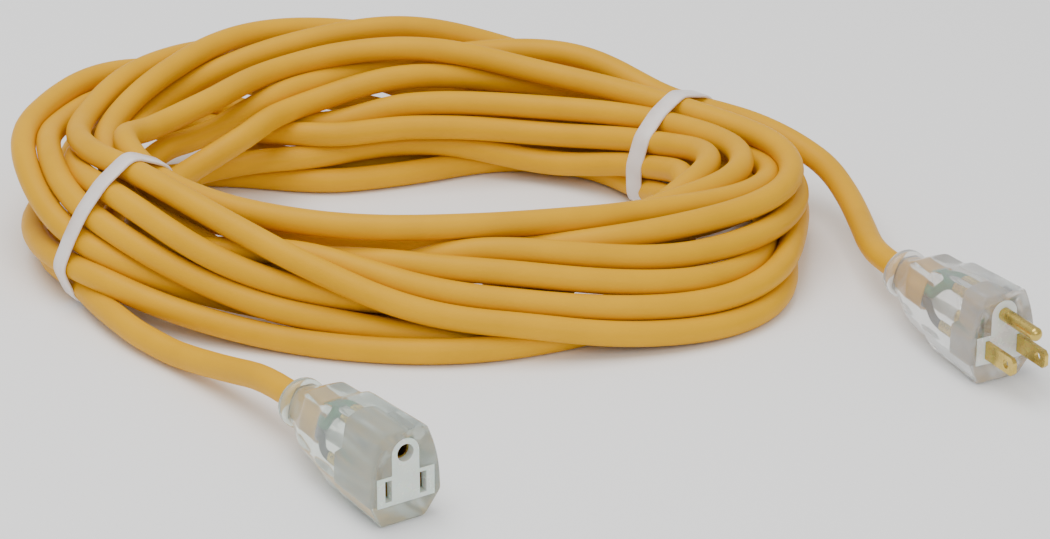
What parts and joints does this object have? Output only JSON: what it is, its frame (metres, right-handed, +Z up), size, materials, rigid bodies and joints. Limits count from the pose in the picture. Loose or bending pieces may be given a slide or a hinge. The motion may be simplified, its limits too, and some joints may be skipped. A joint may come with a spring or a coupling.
{
  "type": "extension cord",
  "caption": "Yellow outdoor extension cord in a loose oval coil held by cable ties, with a clear moulded grounded plug on one end and a clear connector on the other.",
  "frame": {"origin": "on the ground, under the middle of the whole object's box", "axes": "+Z up, +X to the right along the coil's long side towards the plug, +Y back from the connector towards the coil"},
  "size_m": [0.3566, 0.3277, 0.0514],
  "materials": {
    "jacket": "satin soft vinyl",
    "tie_nylon": "satin",
    "clear_moulding": "gloss with pebbled side panels",
    "inner_moulding": "gloss",
    "brass": "polished",
    "copper": "stranded",
    "green_insulation": "satin",
    "black_insulation": "satin",
    "white_insulation": "satin"
  },
  "bodies": {
    "root": {"cord_coil": "jacket", "connector_lead": "jacket", "plug_lead": "jacket", "plug_jacket_end": "jacket", "connector_jacket_end": "jacket", "left_cable_tie": "tie_nylon", "right_cable_tie": "tie_nylon", "plug_body": "clear_moulding", "connector_body": "clear_moulding", "plug_insert": "inner_moulding", "connector_carrier": "inner_moulding", "plug_line_blade": "brass", "plug_neutral_blade": "brass", "plug_ground_pin": "brass", "connector_line_contact": "brass", "connector_neutral_contact": "brass", "connector_ground_contact": "brass", "plug_green_insulation": "green_insulation", "plug_green_copper": "copper", "plug_black_insulation": "black_insulation", "plug_black_copper": "copper", "plug_white_insulation": "white_insulation", "plug_white_copper": "copper", "connector_green_insulation": "green_insulation", "connector_green_copper": "copper", "connector_black_insulation": "black_insulation", "connector_black_copper": "copper", "connector_white_insulation": "white_insulation", "connector_white_copper": "copper"}
  },
  "joints": []
}
